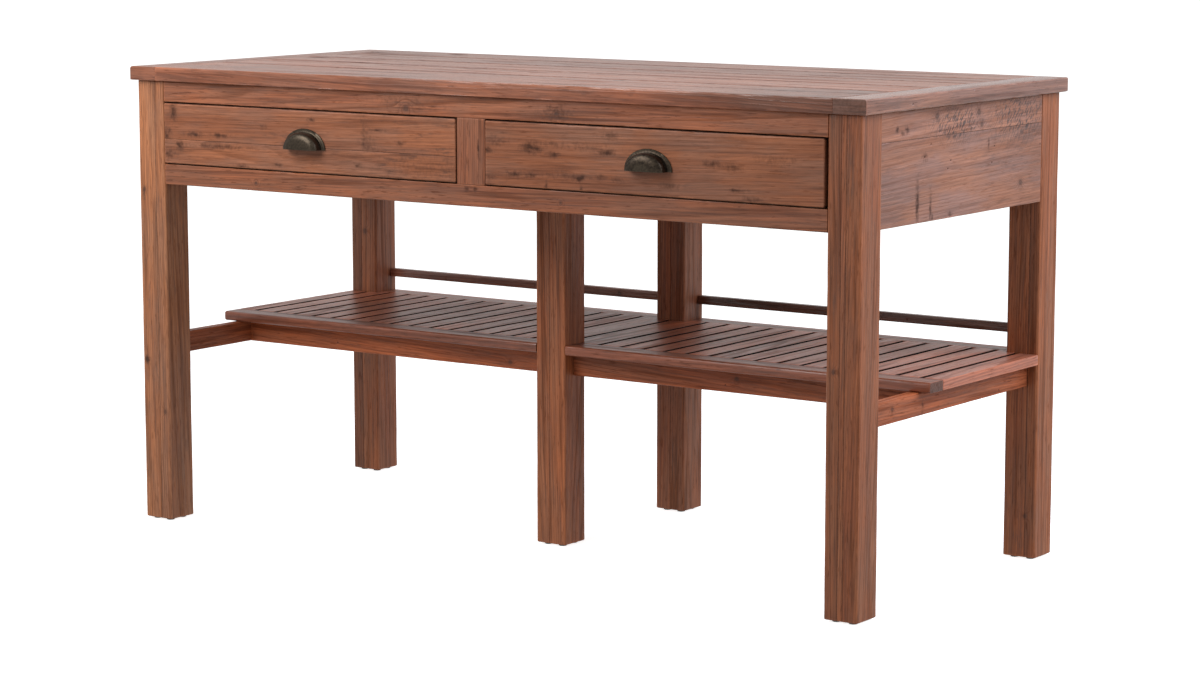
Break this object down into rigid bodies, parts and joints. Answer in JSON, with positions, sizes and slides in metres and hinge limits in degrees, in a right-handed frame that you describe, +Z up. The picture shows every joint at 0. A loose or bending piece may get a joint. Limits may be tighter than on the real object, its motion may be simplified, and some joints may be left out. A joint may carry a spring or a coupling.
{
  "type": "kitchen island",
  "caption": "Freestanding reclaimed-pine kitchen island: plank top on square posts, inset drawers with cup pulls, set-back slatted shelf with a gallery rail.",
  "frame": {"origin": "centre of the outline, pulls included, on the floor", "axes": "+X to the right seen from the drawer side, -Y out of the drawer fronts, +Z up"},
  "size_m": [1.668, 0.755, 0.902],
  "materials": {
    "post_wood": "satin stained reclaimed pine",
    "top_wood": "satin stained reclaimed pine, worn",
    "rail_wood": "satin stained reclaimed pine",
    "drawer_front_wood": "satin stained reclaimed pine with nail marks",
    "panel_wood": "matte rough-sawn reclaimed pine",
    "deck_wood": "satin dark stained pine",
    "drawer_box_wood": "plain sanded pine",
    "glide_black": "matte black felt-faced glides",
    "pull_metal": "dark antique brass"
  },
  "bodies": {
    "frame": {"post_front_left": "post_wood", "post_front_right": "post_wood", "post_rear_left": "post_wood", "post_rear_right": "post_wood", "post_middle_front": "post_wood", "post_middle_rear": "post_wood", "top_end_left": "top_wood", "top_end_right": "top_wood", "top_plank_1": "top_wood", "top_plank_2": "top_wood", "top_plank_3": "top_wood", "top_plank_4": "top_wood", "top_plank_5": "top_wood", "front_top_rail": "rail_wood", "front_bottom_rail": "rail_wood", "centre_stile": "rail_wood", "middle_stretcher": "rail_wood", "end_stretcher_left": "rail_wood", "end_stretcher_right": "rail_wood", "front_apron_left": "rail_wood", "front_apron_right": "rail_wood", "rear_apron_left": "rail_wood", "rear_apron_right": "rail_wood", "gallery_rail_left": "rail_wood", "gallery_rail_right": "rail_wood", "end_panel_left": "panel_wood", "end_panel_right": "panel_wood", "back_panel_left": "panel_wood", "back_panel_right": "panel_wood", "centre_partition": "drawer_box_wood", "top_batten_left": "drawer_box_wood", "shelf_deck_left": "deck_wood", "drawer_runner_left_outer": "drawer_box_wood", "drawer_runner_left_inner": "drawer_box_wood", "drawer_stop_left": "drawer_box_wood", "top_batten_right": "drawer_box_wood", "shelf_deck_right": "deck_wood", "drawer_runner_right_outer": "drawer_box_wood", "drawer_runner_right_inner": "drawer_box_wood", "drawer_stop_right": "drawer_box_wood"},
    "drawer_left": {"drawer_left_front": "drawer_front_wood", "drawer_left_side_left": "drawer_box_wood", "drawer_left_side_right": "drawer_box_wood", "drawer_left_back": "drawer_box_wood", "drawer_left_bottom": "drawer_box_wood", "drawer_left_pull": "pull_metal"},
    "drawer_right": {"drawer_right_front": "drawer_front_wood", "drawer_right_side_left": "drawer_box_wood", "drawer_right_side_right": "drawer_box_wood", "drawer_right_back": "drawer_box_wood", "drawer_right_bottom": "drawer_box_wood", "drawer_right_pull": "pull_metal"}
  },
  "joints": [
    {"name": "drawer_left_slide", "type": "slide", "parent": "frame", "child": "drawer_left", "axis": [0, -1, 0], "range_m": [0, 0.34]},
    {"name": "drawer_right_slide", "type": "slide", "parent": "frame", "child": "drawer_right", "axis": [0, -1, 0], "range_m": [0, 0.34]}
  ]
}
